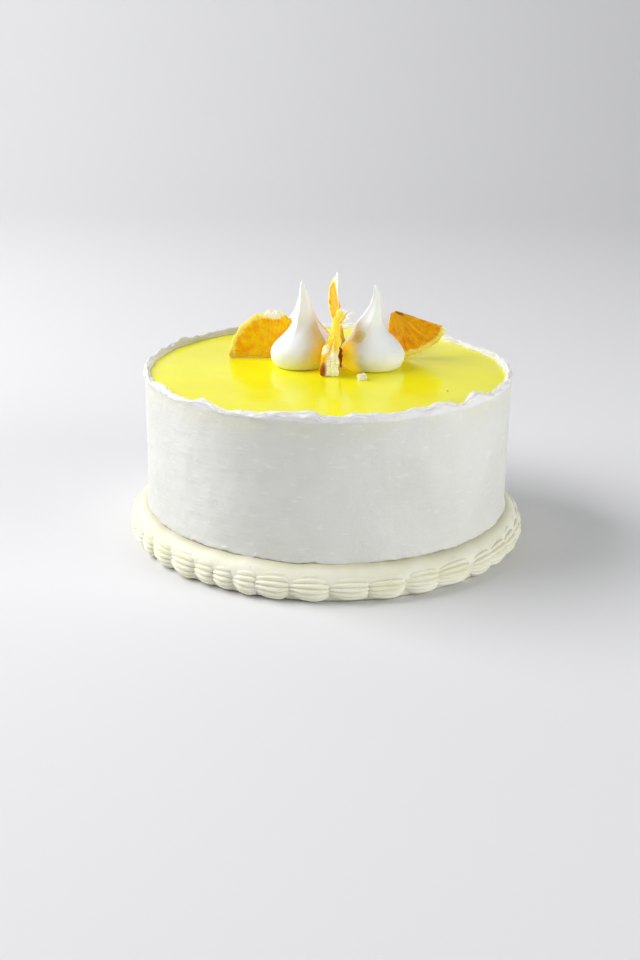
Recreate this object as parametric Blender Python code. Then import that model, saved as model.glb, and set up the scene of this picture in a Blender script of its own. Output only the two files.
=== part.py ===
# Round iced cake with a lemon glaze top, a piped shell border round its foot,
# and a crown of four meringue kisses and four dried orange slices.
# Metres, +Z up. The origin is the centre of the flat bottom, and -Y is the front.

import math
import random

import bmesh
import bpy
from mathutils import Vector

MM = 0.001

# Driving dimensions of the cake, in metres.
CAKE_RADIUS = 105.0 * MM
GLAZE_TOP = 96.6 * MM
GLAZE_DEPTH = 3.0 * MM
GLAZE_EDGE_DROP = 0.5 * MM
GLAZE_EDGE_INSET = 1.0 * MM
GAP = 0.3 * MM
ROUND_STEPS = 96

# The iced side: a slightly flared lower lip over a narrower foot.
FOOT_RADIUS = 103.2 * MM
LIP_HEIGHT = 20.6 * MM
LIP_FLARE = 0.9 * MM
LIP_UNDERCUT = 2.0 * MM
LIP_RAGGED = 0.45 * MM
SIDE_RIPPLE = 0.25 * MM
SIDE_LEVELS = (24.6 * MM, 40.0 * MM, 58.0 * MM, 76.0 * MM, 91.0 * MM)

# The ragged icing rim that stands round the glaze.
RIM_HEIGHT = 2.5 * MM
RIM_INNER_RADIUS = 101.7 * MM
RIM_OVERHANG = 0.7 * MM
RIM_SHOULDER = 0.9 * MM
RIM_OUTER_DROP = 1.2 * MM
RIM_INNER_DROP = 0.5 * MM
RIM_RAGGED = 0.45 * MM

# The rim's crest goes up and down: polar angle in degrees, added height in mm.
RIM_CREST = (
    (-180.0, 0.2), (-161.0, -1.0), (-153.0, 1.0), (-145.0, -0.5), (-135.0, -0.6), (-130.0, 1.4),
    (-120.0, -0.8), (-113.0, -0.9), (-103.0, 1.5), (-93.6, 3.6), (-91.0, 1.4), (-84.5, 1.0),
    (-83.0, 1.8), (-77.0, 1.3), (-73.0, 2.0), (-68.0, 1.1), (-64.0, 2.5), (-61.5, 1.9),
    (-55.0, 3.3), (-46.5, 0.2), (-40.5, 4.2), (-34.0, 1.2), (-24.0, 1.4), (-10.0, 0.2),
    (30.0, 0.0), (64.0, 1.2), (100.0, 0.2), (152.0, 1.0), (180.0, 0.2),
)

# Where the icing spills inwards over the glaze's edge, or stands back from
# it: polar angle and width in degrees, and how far.
RIM_SPILLS = (
    (-148.5, 5.0, 0.3 * MM),
    (-129.0, 4.0, 0.4 * MM),
    (-104.0, 10.0, 0.6 * MM),
    (-88.0, 4.0, -0.6 * MM),
    (-70.0, 15.0, 0.7 * MM),
    (-55.0, 4.0, 0.9 * MM),
    (-40.5, 4.0, 1.9 * MM),
    (-30.0, 6.0, 0.4 * MM),
    (64.0, 5.0, 0.7 * MM),
    (152.0, 5.0, 0.6 * MM),
)

# Ripples that keep the icing uneven: their gain, and their twist with height.
RIPPLE_GAIN = 2.0
RIPPLE_TWIST = 0.3

# The piped shell border, as sections through a round core.
BORDER_CORE_RADIUS = 108.2 * MM
BORDER_CORE_HEIGHT = 8.2 * MM
SHELL_RADIUS = 9.0 * MM
SHELL_PINCH = 0.70
SHELL_HEAD_AT = 0.72
SHELL_HEAD_FALL = 0.35
SHELL_FAN_BY = 0.45
SHELL_TAIL_FAN = 0.6
SHELL_TAIL_RIDGE = 0.5
SHELL_SIZES = (0.95, 1.04)
SHELL_RIDGE = 0.75 * MM
SHELL_RIDGES = 5
SHELL_TOP_ANGLE = 76.0
SHELL_LOW_ANGLE = -58.0
SHELL_FOOT_REACH = 3.6 * MM
SHELL_STATIONS = (0.0, 0.2, 0.45, 0.72, 0.92)
BORDER_SHOULDER = ((105.7 * MM, 19.0 * MM), (108.0 * MM, 17.8 * MM))

# The nine shells across the front, in degrees of arc, from where they start.
# The rest of the round is shared out evenly, with a small change each.
FRONT_SHELL_START = -128.0
FRONT_SHELL_ARCS = (6.5, 6.2, 6.9, 9.2, 10.6, 10.7, 10.2, 10.1, 12.3)
OTHER_SHELLS = 32
SHELL_ARC_SPREAD = 0.16

# Outline of a meringue kiss: share of its height, share of its largest radius.
KISS_OUTLINE = (
    (0.00, 0.78),
    (0.05, 0.93),
    (0.14, 1.00),
    (0.24, 0.93),
    (0.35, 0.71),
    (0.43, 0.56),
    (0.52, 0.435),
    (0.62, 0.33),
    (0.74, 0.25),
    (0.87, 0.16),
    (0.96, 0.08),
)
KISS_STEPS = 16
KISS_CREASE = 0.16
KISS_CREASE_WIDTH = 35.0
KISS_CREASE_FROM = 0.3
KISS_CREASE_TO = 0.6

# Each kiss: name, centre x and y, radius, height, and the direction of the
# crease that runs down its spire, in degrees.
KISSES = (
    ("kiss_front_left", -17.0 * MM, 8.0 * MM, 16.7 * MM, 50.0 * MM, -105.0),
    ("kiss_front_right", 25.3 * MM, 8.0 * MM, 18.9 * MM, 48.5 * MM, -115.0),
    ("kiss_back_left", -18.0 * MM, 48.6 * MM, 19.4 * MM, 38.0 * MM, -60.0),
    ("kiss_back_right", 33.5 * MM, 51.0 * MM, 18.5 * MM, 37.0 * MM, 150.0),
)

# How each spire sways on its way up: share of the height, shift in x.
KISS_SWAYS = {
    "kiss_front_left": ((0.2, 0.0), (0.43, 2.5 * MM), (0.62, 2.9 * MM), (1.0, 1.4 * MM)),
    "kiss_front_right": (
        (0.2, 0.0), (0.35, -0.5 * MM), (0.52, -2.0 * MM),
        (0.62, -0.6 * MM), (0.8, 1.8 * MM), (1.0, -0.8 * MM),
    ),
    "kiss_back_left": ((0.2, 0.0), (0.52, 2.4 * MM), (1.0, 2.8 * MM)),
    "kiss_back_right": ((0.2, 0.0), (0.52, -3.6 * MM), (1.0, -4.2 * MM)),
}

# A dried orange slice: flesh, thicker rind, and the cut-off core at its point.
SLICE_STEPS = 12
SLICE_SHARES = (0.06, 0.34, 0.64, 0.85, 0.91, 1.0)
SLICE_FLESH = 3.2 * MM
SLICE_RIND = 4.6 * MM
SLICE_EDGE = 3.4 * MM
SLICE_RIND_FROM = 0.88
SLICE_EDGE_FROM = 0.95
SLICE_WAVES = 3.0

# Each slice, let down on to the glaze: name, x and y of its point, radius,
# and its height as a share of a round slice's.
SLICES = (
    ("orange_left", -32.0 * MM, 24.2 * MM, 27.0 * MM, 1.0),
    ("orange_right", 37.0 * MM, 28.8 * MM, 35.5 * MM, 0.8),
    ("orange_front", 3.5 * MM, 8.3 * MM, 26.4 * MM, 1.0),
    ("orange_back", 6.4 * MM, 38.0 * MM, 27.6 * MM, 1.0),
)

# How each slice stands: the direction of its plane, its lean, and the sector
# of the round that it fills, in degrees.
SLICE_STANDS = {
    "orange_left": (180.0, -5.0, 0.0, 122.0),
    "orange_right": (-6.0, 2.0, -96.0, -20.0),
    "orange_front": (-97.0, 9.0, -17.0, 83.0),
    "orange_back": (96.0, 3.0, -57.0, 57.0),
}

# How each slice has warped as it dried: how far its rind waves, the phase of
# that wave in degrees, and how far its low part bulges and curls back.
SLICE_WARPS = {
    "orange_left": (0.9 * MM, 304.0, 0.0, 0.0),
    "orange_right": (0.9 * MM, 48.0, 0.0, 0.0),
    "orange_front": (1.2 * MM, 344.0, 3.4 * MM, 6.9 * MM),
    "orange_back": (2.2 * MM, -126.0, 0.0, 0.0),
}
BULGE_FROM = 0.25
BULGE_TO = 0.65
CURL_LOW_TURN = 25.0
CURL_HIGH_TURN = 60.0

# The low part of one slice is also folded towards the front: how far
# forwards and down, and at which shares of the radius the fold begins and
# stands out most.
FOLDED_SLICE = "orange_front"
FOLD_FORWARDS = 9.5 * MM
FOLD_DOWN = 3.2 * MM
FOLD_FROM = 0.2
FOLD_TOP = 0.62

# Share of the radius over which the slope of a slice's middle surface is taken.
SLOPE_STEP = 0.01

# One slice has its rind torn off, from and to which turn in degrees, and
# the share of the radius that is gone there.
TORN_SLICE = "orange_left"
TORN_FROM = 92.0
TORN_TO = 116.0
TORN_SHARE = 0.12

# Finishes: linear base colour and roughness.
FINISHES = {
    "icing": ((0.86, 0.86, 0.82), 0.6),
    "glaze": ((0.85, 0.78, 0.03), 0.12),
    "border_cream": ((0.86, 0.84, 0.66), 0.5),
    "meringue": ((0.88, 0.88, 0.86), 0.65),
    "dried_orange": ((0.80, 0.30, 0.01), 0.4),
}


def clear_scene():
    """Remove whatever objects the file opened with."""
    for item in list(bpy.data.objects):
        bpy.data.objects.remove(item, do_unlink=True)


def make_finish(name):
    """A Principled material from the table of finishes."""
    colour, roughness = FINISHES[name]
    material = bpy.data.materials.new(name)
    material.use_nodes = True
    shader = material.node_tree.nodes["Principled BSDF"]
    shader.inputs["Base Color"].default_value = (*colour, 1.0)
    shader.inputs["Roughness"].default_value = roughness
    shader.inputs["Metallic"].default_value = 0.0
    return material


def add_solid(name, mesh_work, material, sharp_degrees=40.0):
    """Turn finished bmesh work into one named, smooth-shaded object."""
    bmesh.ops.recalc_face_normals(mesh_work, faces=mesh_work.faces)
    mesh = bpy.data.meshes.new(name)
    mesh_work.to_mesh(mesh)
    mesh_work.free()
    mesh.shade_smooth()
    mesh.set_sharp_from_angle(angle=math.radians(sharp_degrees))
    mesh.materials.append(material)
    item = bpy.data.objects.new(name, mesh)
    bpy.context.scene.collection.objects.link(item)
    return item


def join_rings(mesh_work, first, second):
    """A band of quads between two closed rings of equal length."""
    count = len(first)
    for index in range(count):
        after = (index + 1) % count
        mesh_work.faces.new((first[index], first[after], second[after], second[index]))


def turned_solid(name, rings, low_pole, high_pole, material):
    """A solid from a stack of rings, closed by a fan to a pole at each end."""
    work = bmesh.new()
    made = [[work.verts.new(point) for point in ring] for ring in rings]
    for lower, upper in zip(made, made[1:]):
        join_rings(work, lower, upper)
    for pole, ring in ((low_pole, made[0]), (high_pole, made[-1])):
        centre = work.verts.new(pole)
        for index, corner in enumerate(ring):
            work.faces.new((corner, ring[(index + 1) % len(ring)], centre))
    return add_solid(name, work, material)


def swept_solid(name, sections, material, is_ring):
    """A solid swept through closed sections: a full ring, or capped ends."""
    work = bmesh.new()
    made = [[work.verts.new(point) for point in section] for section in sections]
    for section, following in zip(made, made[1:]):
        join_rings(work, section, following)
    if is_ring:
        join_rings(work, made[-1], made[0])
    else:
        work.faces.new(made[0])
        work.faces.new(made[-1])
    return add_solid(name, work, material)


def polar(radius, angle, height):
    """A point from its radius, polar angle in radians and height."""
    return (radius * math.cos(angle), radius * math.sin(angle), height)


def angle_between(angle, other):
    """Smallest difference of two angles in degrees."""
    return abs((angle - other + 180.0) % 360.0 - 180.0)


def smooth_step(value):
    """Ease from 0 to 1 with flat ends."""
    share = min(max(value, 0.0), 1.0)
    return share * share * (3.0 - 2.0 * share)


def make_ripple(seed, waves):
    """A closed, repeatable ripple round the cake, between about -1 and 1."""
    draw = random.Random(seed)
    parts = [(wave, draw.uniform(0.0, math.tau), draw.uniform(0.6, 1.0)) for wave in waves]
    total = sum(weight for _, _, weight in parts)

    def ripple(angle, height=0.0):
        twist = RIPPLE_TWIST * height / GLAZE_TOP
        return RIPPLE_GAIN / total * sum(
            weight * math.sin(wave * (angle + twist) + phase)
            for wave, phase, weight in parts
        )

    return ripple


def rim_crest(angle):
    """How far the rim's crest stands above its usual height."""
    degrees = (math.degrees(angle) + 180.0) % 360.0 - 180.0
    for (low, start), (high, stop) in zip(RIM_CREST, RIM_CREST[1:]):
        if degrees <= high:
            return (start + (stop - start) * smooth_step((degrees - low) / (high - low))) * MM
    return RIM_CREST[-1][1] * MM


def rim_inner_radius(angle, ragged):
    """Where the rim's inner edge meets the glaze."""
    spill = 0.0
    for direction, width, reach in RIM_SPILLS:
        offset = angle_between(math.degrees(angle), direction) / width
        spill += reach * math.exp(-offset * offset)
    return RIM_INNER_RADIUS - spill + RIM_RAGGED * ragged(angle)


def round_angles():
    """Evenly spaced polar angles of the cake's rings."""
    return [math.tau * step / ROUND_STEPS for step in range(ROUND_STEPS)]


def make_cake_body(material, ragged):
    """The iced cake: foot, flared lip, straight side, rim and glaze recess."""
    side = make_ripple(11, (2, 3, 5, 9))
    lip = make_ripple(12, (7, 13, 19, 29))
    crest = make_ripple(13, (6, 11, 17, 31))
    recess = GLAZE_TOP - GLAZE_DEPTH - GAP
    angles = round_angles()
    rings = [
        [polar(FOOT_RADIUS, angle, 0.0) for angle in angles],
        [polar(FOOT_RADIUS, angle, LIP_HEIGHT - LIP_UNDERCUT) for angle in angles],
    ]
    flared = CAKE_RADIUS + LIP_FLARE
    rings.append([
        polar(flared + 0.5 * LIP_RAGGED * lip(angle), angle, LIP_HEIGHT + LIP_RAGGED * lip(angle + 1.0))
        for angle in angles
    ])
    for level in SIDE_LEVELS:
        rings.append([
            polar(CAKE_RADIUS + SIDE_RIPPLE * side(angle, level), angle, level)
            for angle in angles
        ])
    rim = []
    for angle in angles:
        height = GLAZE_TOP + RIM_HEIGHT + rim_crest(angle)
        inner = rim_inner_radius(angle, ragged)
        rim.append((angle, height + RIM_RAGGED * crest(angle), inner))
    outer = CAKE_RADIUS + RIM_OVERHANG
    rings.append([polar(outer, angle, height - RIM_OUTER_DROP) for angle, height, _ in rim])
    rings.append([polar(outer - RIM_SHOULDER, angle, height) for angle, height, _ in rim])
    rings.append([
        polar(inner + RIM_SHOULDER, angle, height - RIM_INNER_DROP)
        for angle, height, inner in rim
    ])
    rings.append([polar(inner, angle, GLAZE_TOP + GAP) for angle, _, inner in rim])
    rings.append([polar(inner, angle, recess) for angle, _, inner in rim])
    return turned_solid("cake_body", rings, (0.0, 0.0, 0.0), (0.0, 0.0, recess), material)


def make_glaze(material, ragged):
    """The poured lemon glaze: a disc that fills the recess inside the rim."""
    base = GLAZE_TOP - GLAZE_DEPTH
    low = []
    edge = []
    top = []
    for angle in round_angles():
        reach = rim_inner_radius(angle, ragged) - GAP
        low.append(polar(reach, angle, base))
        edge.append(polar(reach, angle, GLAZE_TOP - GLAZE_EDGE_DROP))
        top.append(polar(reach - GLAZE_EDGE_INSET, angle, GLAZE_TOP))
    return turned_solid(
        "lemon_glaze", [low, edge, top], (0.0, 0.0, base), (0.0, 0.0, GLAZE_TOP), material
    )


def shell_arcs():
    """Start and length of every shell in degrees, once round the cake."""
    draw = random.Random(5)
    shares = [1.0 + draw.uniform(-SHELL_ARC_SPREAD, SHELL_ARC_SPREAD) for _ in range(OTHER_SHELLS)]
    rest = 360.0 - sum(FRONT_SHELL_ARCS)
    arcs = list(FRONT_SHELL_ARCS)
    arcs += [rest * share / sum(shares) for share in shares]
    start = FRONT_SHELL_START
    spans = []
    for arc in arcs:
        spans.append((start, arc))
        start += arc
    return spans


def shell_swell(share):
    """How full a shell is from its pinched tail (0) to its fat head (1)."""
    rise = smooth_step(share / SHELL_HEAD_AT)
    fall = SHELL_HEAD_FALL * smooth_step((share - SHELL_HEAD_AT) / (1.0 - SHELL_HEAD_AT))
    return SHELL_PINCH + (1.0 - SHELL_PINCH) * (rise - fall)


def shell_section(angle, share, size):
    """One closed section of the border, its ridges fanned out from the tail."""
    swell = shell_swell(share) * size
    opening = smooth_step(share / SHELL_FAN_BY)
    fan = SHELL_TAIL_FAN + (1.0 - SHELL_TAIL_FAN) * opening
    ridge = SHELL_RIDGE * (SHELL_TAIL_RIDGE + (1.0 - SHELL_TAIL_RIDGE) * opening)
    middle = 0.5 * (SHELL_TOP_ANGLE + SHELL_LOW_ANGLE)
    inner = FOOT_RADIUS + GAP
    points = [polar(inner, angle, 0.0), polar(inner, angle, LIP_HEIGHT - LIP_UNDERCUT - 2.0 * GAP)]
    points += [polar(radius, angle, height) for radius, height in BORDER_SHOULDER]
    corners = 2 * SHELL_RIDGES - 1
    for corner in range(corners):
        along = corner / (corners - 1)
        turn = SHELL_TOP_ANGLE + (SHELL_LOW_ANGLE - SHELL_TOP_ANGLE) * along
        turn = math.radians(middle + (turn - middle) * fan)
        groove = 0.0 if corner % 2 == 0 else ridge
        reach = SHELL_RADIUS * swell - groove
        radius = BORDER_CORE_RADIUS + reach * math.cos(turn)
        height = BORDER_CORE_HEIGHT + reach * math.sin(turn)
        points.append(polar(radius, angle, height))
    foot = BORDER_CORE_RADIUS + SHELL_FOOT_REACH * (2.0 * swell - 1.0)
    points.append(polar(foot, angle, 0.0))
    return points


def make_shell_border(material):
    """A closed ring of piped shells, each head over the next one's tail."""
    draw = random.Random(7)
    sections = []
    for start, arc in shell_arcs():
        size = draw.uniform(*SHELL_SIZES)
        for share in SHELL_STATIONS:
            angle = math.radians(start + arc * share)
            sections.append(shell_section(angle, share, size))
    return swept_solid("shell_border", sections, material, is_ring=True)


def spire_shift(name, level):
    """How far a kiss's spire has swayed in x at a share of its height."""
    sway = KISS_SWAYS[name]
    if level <= sway[0][0]:
        return 0.0
    for (low, start), (high, stop) in zip(sway, sway[1:]):
        if level <= high:
            return start + (stop - start) * (level - low) / (high - low)
    return sway[-1][1]


def make_kiss(kiss, material):
    """A meringue kiss: a round ball drawn up into a creased, swaying spire."""
    name, centre_x, centre_y, radius, height, crease = kiss
    floor = GLAZE_TOP + GAP
    rings = []
    for level, width in KISS_OUTLINE:
        shift = spire_shift(name, level)
        fold = KISS_CREASE * smooth_step(
            (level - KISS_CREASE_FROM) / (KISS_CREASE_TO - KISS_CREASE_FROM)
        )
        ring = []
        for step in range(KISS_STEPS):
            angle = math.tau * step / KISS_STEPS
            offset = angle_between(math.degrees(angle), crease) / KISS_CREASE_WIDTH
            reach = radius * width * (1.0 + fold * math.exp(-offset * offset))
            ring.append((
                centre_x + shift + reach * math.cos(angle),
                centre_y + reach * math.sin(angle),
                floor + height * level,
            ))
        rings.append(ring)
    foot = (centre_x, centre_y, floor)
    tip = (centre_x + spire_shift(name, 1.0), centre_y, floor + height)
    return turned_solid(name, rings, foot, tip, material)


def slice_thickness(share):
    """Full thickness along a slice's radius: thin flesh, raised rind."""
    if share > SLICE_EDGE_FROM:
        return SLICE_EDGE
    if share > SLICE_RIND_FROM:
        return SLICE_RIND
    return SLICE_FLESH


def low_part(turn):
    """1 on the low part of a slice, falling to 0 higher up."""
    return 1.0 - smooth_step((math.degrees(turn) - CURL_LOW_TURN) / (CURL_HIGH_TURN - CURL_LOW_TURN))


def slice_warp(name, turn, share):
    """How far a slice stands out of its plane: its rind's wave and low curl."""
    waviness, phase, bulge, curl = SLICE_WARPS[name]
    wave = waviness * share * share * math.sin(SLICE_WAVES * turn + math.radians(phase))
    out = bulge * smooth_step((share - BULGE_FROM) / (BULGE_TO - BULGE_FROM))
    back = curl * smooth_step((share - BULGE_TO) / (1.0 - BULGE_TO))
    return wave + low_part(turn) * (out - back)


def slice_fold(name, turn, share):
    """How far a point of a slice is folded forwards, as a share of the fold."""
    if name != FOLDED_SLICE:
        return 0.0
    begun = smooth_step((share - FOLD_FROM) / (FOLD_TOP - FOLD_FROM))
    ended = smooth_step((share - FOLD_TOP) / (1.0 - FOLD_TOP))
    return low_part(turn) * begun * (1.0 - ended)


def slice_reach(name, turn):
    """How far out a slice goes at a turn, as a share of its radius."""
    if name != TORN_SLICE:
        return 1.0
    return 1.0 - TORN_SHARE * smooth_step((math.degrees(turn) - TORN_FROM) / (TORN_TO - TORN_FROM))


def slice_middle(entry, turn, share):
    """A point of a slice's middle surface."""
    name, point_x, point_y, radius, flatness = entry
    heading, lean, _, _ = SLICE_STANDS[name]
    along = Vector((math.cos(math.radians(heading)), math.sin(math.radians(heading)), 0.0))
    side = Vector((-along.y, along.x, 0.0))
    rise = Vector((0.0, 0.0, 1.0)) * math.cos(math.radians(lean))
    rise += side * math.sin(math.radians(lean))
    ray = along * math.cos(turn) + rise * flatness * math.sin(turn)
    fold = slice_fold(name, turn, share)
    middle = Vector((point_x, point_y, 0.0)) + ray * radius * share * slice_reach(name, turn)
    middle += along * FOLD_FORWARDS * fold - rise * FOLD_DOWN * fold
    return middle + along.cross(rise) * slice_warp(name, turn, share)


def slice_normal(entry, turn, share):
    """The direction square to a slice's middle surface."""
    inner = slice_middle(entry, turn, share - SLOPE_STEP)
    outer = slice_middle(entry, turn, share + SLOPE_STEP)
    lower = slice_middle(entry, turn - SLOPE_STEP, share)
    upper = slice_middle(entry, turn + SLOPE_STEP, share)
    return (outer - inner).cross(upper - lower).normalized()


def make_slice(entry, material):
    """A sector of a dried orange slice, standing on edge and warped."""
    name = entry[0]
    _, _, first_turn, last_turn = SLICE_STANDS[name]
    sections = []
    for step in range(SLICE_STEPS):
        turn = math.radians(first_turn + (last_turn - first_turn) * step / (SLICE_STEPS - 1))
        front = []
        back = []
        for share in SLICE_SHARES:
            middle = slice_middle(entry, turn, share)
            half = slice_normal(entry, turn, share) * 0.5 * slice_thickness(share)
            front.append(middle + half)
            back.append(middle - half)
        sections.append(front + back[::-1])
    lowest = min(corner.z for section in sections for corner in section)
    lift = Vector((0.0, 0.0, GLAZE_TOP + GAP - lowest))
    sections = [[corner + lift for corner in section] for section in sections]
    return swept_solid(name, sections, material, is_ring=False)


def build():
    """Make every piece of the cake."""
    clear_scene()
    finishes = {name: make_finish(name) for name in FINISHES}
    ragged = make_ripple(14, (8, 13, 21, 34))
    make_cake_body(finishes["icing"], ragged)
    make_glaze(finishes["glaze"], ragged)
    make_shell_border(finishes["border_cream"])
    for kiss in KISSES:
        make_kiss(kiss, finishes["meringue"])
    for entry in SLICES:
        make_slice(entry, finishes["dried_orange"])


build()
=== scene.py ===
import math
import random

import bpy
import numpy as np
from mathutils import Matrix, Vector


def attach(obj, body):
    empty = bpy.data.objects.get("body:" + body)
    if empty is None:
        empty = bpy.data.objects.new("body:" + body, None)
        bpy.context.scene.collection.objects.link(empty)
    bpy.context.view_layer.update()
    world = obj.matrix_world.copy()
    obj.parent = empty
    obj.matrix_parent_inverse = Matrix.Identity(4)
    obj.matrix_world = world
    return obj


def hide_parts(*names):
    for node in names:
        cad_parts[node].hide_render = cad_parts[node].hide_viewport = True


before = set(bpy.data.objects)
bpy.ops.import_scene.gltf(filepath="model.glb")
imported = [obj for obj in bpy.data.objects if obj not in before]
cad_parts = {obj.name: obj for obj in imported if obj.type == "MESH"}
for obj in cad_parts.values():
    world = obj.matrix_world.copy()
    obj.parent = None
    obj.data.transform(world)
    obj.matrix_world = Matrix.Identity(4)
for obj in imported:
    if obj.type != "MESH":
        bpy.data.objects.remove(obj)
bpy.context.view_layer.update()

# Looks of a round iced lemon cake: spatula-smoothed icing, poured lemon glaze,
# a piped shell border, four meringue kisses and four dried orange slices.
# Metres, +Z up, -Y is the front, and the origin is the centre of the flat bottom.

MM = 0.001
MERGE_DISTANCE = 0.01 * MM
WEIGHT_LEVELS = 20
SMEAR_ROWS = 512

# The iced cake and its glaze, in metres, and how its side ripples.
GLAZE_TOP = 96.6 * MM
GLAZE_DEPTH = 3.0 * MM
GAP = 0.3 * MM
GLAZE_ROWS = 40
RIM_INNER_RADIUS = 101.7 * MM
RIM_RAGGED = 0.45 * MM
LIP_HEIGHT = 20.6 * MM
LIP_RAGGED = 0.45 * MM
SIDE_RIPPLE = 0.25 * MM
CAKE_STEPS = 640

# The ripples round the cake: a seed, and how many waves there are in a turn.
SIDE_WAVES = (11, (2, 3, 5, 9))
LIP_WAVES = (12, (7, 13, 19, 29))
CREST_WAVES = (13, (6, 11, 17, 31))
RIM_WAVES = (14, (8, 13, 21, 34))
BAND_WAVES = (21, (9, 14, 23, 37))
RIPPLE_GAIN = 2.0
RIPPLE_TWIST = 0.3

# How each surface is roughened: the grain and the depth of the noise.
ROUGH = {
    "rim": (2.8 * MM, 0.8 * MM),
    "lip": (2.6 * MM, 0.6 * MM),
    "cream band": (6.0 * MM, 0.5 * MM),
    "shells": (5.0 * MM, 0.9 * MM),
    "kiss": (11.0 * MM, 0.8 * MM),
    "flesh": (1.6 * MM, 0.8 * MM),
    "slice": (3.6 * MM, 0.6 * MM),
    "crumb": (1.8 * MM, 1.9 * MM),
    "speck": (0.6 * MM, 0.4 * MM),
}

# Where the side begins, inwards to outwards and upwards, and where it ends.
NEAR_SIDE = (95.0 * MM, 103.0 * MM)
SIDE_BEGINS = (24.0 * MM, 32.0 * MM)
SIDE_ENDS = (97.0 * MM, 93.0 * MM)

# Outline of the iced cake in mm, from its flat bottom over the foot, the lip,
# the side and the rim to the bed of the glaze: radius and height of the
# points it runs through.
BOTTOM_REACHES = (0.0, 40.0, 80.0, 102.6)
FOOT_OUTLINE = ((103.2, 0.4), (103.2, 6.0), (103.2, 12.0), (103.2, 17.0))
LIP_OUTLINE = ((103.2, 17.0), (103.5, 18.4), (104.8, 19.3), (105.75, 20.3), (105.65, 21.3), (105.2, 24.6))
SIDE_OUTLINE = ((105.2, 24.6), (105.0, 40.0), (105.0, 58.0), (105.0, 76.0), (105.0, 90.0))
RIM_OUTLINE = (
    (105.0, 90.0), (105.0, 94.6), (105.1, 96.2), (105.6, 96.9), (105.75, 97.6), (105.3, 98.5),
    (104.4, 99.1), (103.5, 99.3), (102.8, 98.8), (102.2, 97.9), (101.75, 96.9), (101.65, 94.6),
)
BED_OUTLINE = ((101.0, 93.3), (70.0, 93.3), (35.0, 93.3), (0.0, 93.3))

# The rim from its foot up: the radius and height it curls round, how deep its
# folds and its frayed bits are, how far its outer edge wanders up and down,
# and the radius that it stays within. Then the same of the lip and the side.
RIM_FOOT = 94.6 * MM
RIM_CORE = (103.6 * MM, 97.2 * MM)
RIM_FOLD = 1.1 * MM
RIM_FRAY = 0.85 * MM
RIM_EDGE_WANDER = 1.6 * MM
RIM_REACH = 106.3 * MM
LIP_FRAY = 1.2 * MM
SIDE_SMEAR = 0.45 * MM

# The rim's crest goes up and down: polar angle in degrees, added height in mm.
RIM_CREST = (
    (-180.0, 0.2), (-161.0, -1.0), (-153.0, 1.0), (-145.0, -0.5), (-135.0, -0.6), (-130.0, 1.4),
    (-120.0, -0.8), (-113.0, -0.9), (-103.0, 1.5), (-93.6, 3.6), (-91.0, 1.4), (-84.5, 1.0),
    (-83.0, 1.8), (-77.0, 1.3), (-73.0, 2.0), (-68.0, 1.1), (-64.0, 2.5), (-61.5, 1.9),
    (-55.0, 3.3), (-46.5, 0.2), (-40.5, 4.2), (-34.0, 1.2), (-24.0, 1.4), (-10.0, 0.2),
    (30.0, 0.0), (64.0, 1.2), (100.0, 0.2), (152.0, 1.0), (180.0, 0.2),
)

# Where the icing spills inwards over the glaze's edge, or stands back from
# it: polar angle and width in degrees, and how far.
RIM_SPILLS = (
    (-148.5, 5.0, 0.3 * MM), (-129.0, 4.0, 0.4 * MM), (-104.0, 10.0, 0.6 * MM),
    (-88.0, 4.0, -0.6 * MM), (-70.0, 15.0, 0.7 * MM), (-55.0, 4.0, 0.9 * MM),
    (-40.5, 4.0, 1.9 * MM), (-30.0, 6.0, 0.4 * MM), (64.0, 5.0, 0.7 * MM), (152.0, 5.0, 0.6 * MM),
)

# The smooth band of cream between the lip and the shells: radius and height
# in mm, then how finely it is turned and how much it ripples.
BAND_OUTLINE = (
    (103.4, 0.4), (103.4, 9.0), (103.45, 17.0), (103.7, 18.9), (104.8, 19.5), (106.4, 19.2),
    (108.5, 18.1), (110.7, 16.2), (112.4, 13.6), (113.2, 10.6), (112.7, 6.5), (110.4, 1.4),
    (109.2, 0.3),
)
BAND_STEPS = 480
BAND_RIPPLE = 0.35 * MM

# The piped shells: where their core runs, and how the fat head and the
# pinched tail share out the radius along one shell.
CORE_RADIUS = 108.2 * MM
CORE_HEIGHT = 8.2 * MM
SHELL_RADIUS = 8.2 * MM
SHELL_SIZES = (0.95, 1.04)
SHELL_LOBES = 15
SHELL_LOBE_POINTS = 8
SHELL_GROOVE = 0.21
SHELL_LOBE_ROUNDNESS = 0.8
SHELL_PINCHES = (0.0, 0.34)
SHELL_PINCH_SPAN = 0.3
SHELL_TAIL_OUT = 0.35
SHELL_OUTLINE = (
    (-0.14, 0.22), (-0.10, 0.42), (-0.06, 0.58), (-0.02, 0.70), (0.05, 0.79), (0.15, 0.87),
    (0.28, 0.93), (0.42, 0.98), (0.56, 1.00), (0.70, 0.99), (0.80, 0.96), (0.88, 0.91),
    (0.94, 0.83), (0.98, 0.74), (1.02, 0.60), (1.05, 0.42), (1.07, 0.22),
)
FRONT_SHELL_START = -128.0
FRONT_SHELL_ARCS = (6.5, 6.2, 6.9, 9.2, 10.6, 10.7, 10.2, 10.1, 12.3)
OTHER_SHELLS = 32
SHELL_ARC_SPREAD = 0.16
SHELL_ROLL = 5.0
SHELL_LIFT = 0.25 * MM

# Outline of a meringue kiss: share of its height, share of its largest radius.
KISS_OUTLINE = (
    (0.00, 0.00), (0.00, 0.40), (0.00, 0.78), (0.05, 0.93), (0.14, 1.00), (0.24, 0.93),
    (0.35, 0.70), (0.43, 0.54), (0.52, 0.415), (0.62, 0.31), (0.74, 0.23), (0.87, 0.15),
    (0.96, 0.085), (1.00, 0.00),
)
KISS_STEPS = 128

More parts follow.
